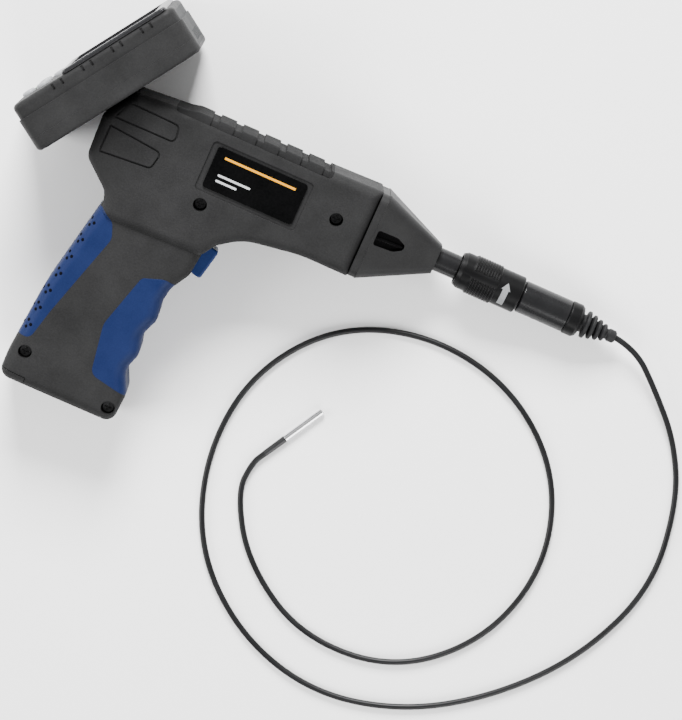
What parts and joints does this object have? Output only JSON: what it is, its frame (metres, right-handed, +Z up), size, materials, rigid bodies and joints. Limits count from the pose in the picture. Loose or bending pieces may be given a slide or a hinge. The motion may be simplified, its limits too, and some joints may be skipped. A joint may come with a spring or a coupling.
{
  "type": "inspection camera",
  "caption": "Pistol-grip inspection camera lying on its side, with a slide-on monitor, blue grip inserts, a trigger button and a long thin camera cable with a steel tip.",
  "frame": {"origin": "the middle of the bottom of the handset's bounding box, monitor and plug included and the cable left out, on the surface that it lies on", "axes": "+Z up from the surface; +X the way that the barrel points, seen from above; +Y the way that the handset's top faces, since it lies on its left side"},
  "size_m": [0.381, 0.2866, 0.0728],
  "materials": {
    "shell_plastic": "fine-textured dark grey",
    "nose_plastic": "fine-textured dark grey",
    "spine_rubber": "soft dark grey",
    "plate_gloss": "polished black",
    "blue_rubber": "soft blue",
    "switch_black": "moulded",
    "screw_steel": "blackened",
    "connector_gloss": "polished black",
    "board_green": "solder mask",
    "shield_tin": "tin plate",
    "brass_pins": "gold plated",
    "contact_steel": "nickel plated",
    "cell_wrap": "printed film",
    "trigger_plastic": "satin blue",
    "monitor_plastic": "fine-textured dark grey",
    "cap_grey": "light grey",
    "bezel_plastic": "satin black",
    "window_glass": "smoked clear",
    "panel_dark": "display",
    "light_green": "tinted",
    "pack_wrap": "film",
    "seal_black": "soft",
    "ring_plastic": "satin black",
    "relief_rubber": "matt black",
    "cable_jacket": "smooth black",
    "sleeve_black": "shrunk tube",
    "tip_steel": "turned",
    "lens_glass": "clear",
    "light_ring": "clear resin over white",
    "arrow_silver": "brushed foil",
    "button_silver": "satin silver"
  },
  "bodies": {
    "handset": {"right_shell": "shell_plastic", "left_shell": "shell_plastic", "nose_cone": "nose_plastic", "spine_strip": "spine_rubber", "right_plate": "plate_gloss", "left_plate": "plate_gloss", "rear_insert": "blue_rubber", "front_insert": "blue_rubber", "trigger_switch": "switch_black", "case_screws": "screw_steel", "socket_tube": "connector_gloss", "contact_block": "switch_black", "main_board": "board_green", "transmitter": "shield_tin", "board_antenna": "brass_pins", "upper_contacts": "contact_steel", "monitor_rail": "shell_plastic", "rail_screws": "screw_steel", "cell_1": "cell_wrap", "cell_2": "cell_wrap", "cell_3": "cell_wrap", "cell_4": "cell_wrap"},
    "trigger": {"trigger": "trigger_plastic"},
    "battery_door": {"battery_door": "shell_plastic", "door_contacts": "contact_steel"},
    "monitor": {"rear_cover": "monitor_plastic", "front_cover": "monitor_plastic", "end_cap": "cap_grey", "display_bezel": "bezel_plastic", "display_window": "window_glass", "display_panel": "panel_dark", "power_light": "light_green", "monitor_board": "board_green", "receiver": "shield_tin", "flat_battery": "pack_wrap", "speaker": "switch_black", "cover_screws": "screw_steel", "jack_cover": "seal_black"},
    "probe": {"plug": "contact_steel", "plug_pins": "brass_pins", "seal_ring": "seal_black", "connector_body": "connector_gloss", "connector_collar": "ring_plastic", "strain_relief": "relief_rubber", "cable": "cable_jacket", "tip_sleeve": "sleeve_black", "tip_housing": "tip_steel", "tip_lens": "lens_glass", "tip_lights": "light_ring"},
    "lock_ring": {"lock_ring": "ring_plastic", "ring_arrow": "arrow_silver"},
    "button_ok": {"button_ok": "button_silver"},
    "button_up": {"button_up": "button_silver"},
    "button_down": {"button_down": "button_silver"},
    "button_left": {"button_left": "button_silver"},
    "button_right": {"button_right": "button_silver"}
  },
  "joints": [
    {"name": "trigger_press", "type": "slide", "parent": "handset", "child": "trigger", "axis": [-0.972, 0.2072, 0.1106], "range_m": [0, 0.0025], "stiffness_N_per_m": 600},
    {"name": "door_slide", "type": "slide", "parent": "handset", "child": "battery_door", "axis": [-0.9955, 0, 0.0946], "range_m": [0, 0.05]},
    {"name": "monitor_slide", "type": "slide", "parent": "handset", "child": "monitor", "axis": [0.5635, 0.8259, 0.0189], "range_m": [0, 0.062]},
    {"name": "probe_pull", "type": "slide", "parent": "handset", "child": "probe", "axis": [0.9955, 0, -0.0946], "range_m": [0, 0.03]},
    {"name": "ring_turn", "type": "hinge", "parent": "probe", "child": "lock_ring", "pos_m": [0.0905, 0.03698, 0.01524], "axis": [0.9955, 0, -0.0946], "range_deg": [-90, 0]},
    {"name": "button_ok_press", "type": "slide", "parent": "monitor", "child": "button_ok", "axis": [0.8207, -0.5571, -0.1269], "range_m": [0, 0.0008], "stiffness_N_per_m": 300},
    {"name": "button_up_press", "type": "slide", "parent": "monitor", "child": "button_up", "axis": [0.8207, -0.5571, -0.1269], "range_m": [0, 0.0008], "stiffness_N_per_m": 300},
    {"name": "button_down_press", "type": "slide", "parent": "monitor", "child": "button_down", "axis": [0.8207, -0.5571, -0.1269], "range_m": [0, 0.0008], "stiffness_N_per_m": 300},
    {"name": "button_left_press", "type": "slide", "parent": "monitor", "child": "button_left", "axis": [0.8207, -0.5571, -0.1269], "range_m": [0, 0.0008], "stiffness_N_per_m": 300},
    {"name": "button_right_press", "type": "slide", "parent": "monitor", "child": "button_right", "axis": [0.8207, -0.5571, -0.1269], "range_m": [0, 0.0008], "stiffness_N_per_m": 300}
  ]
}
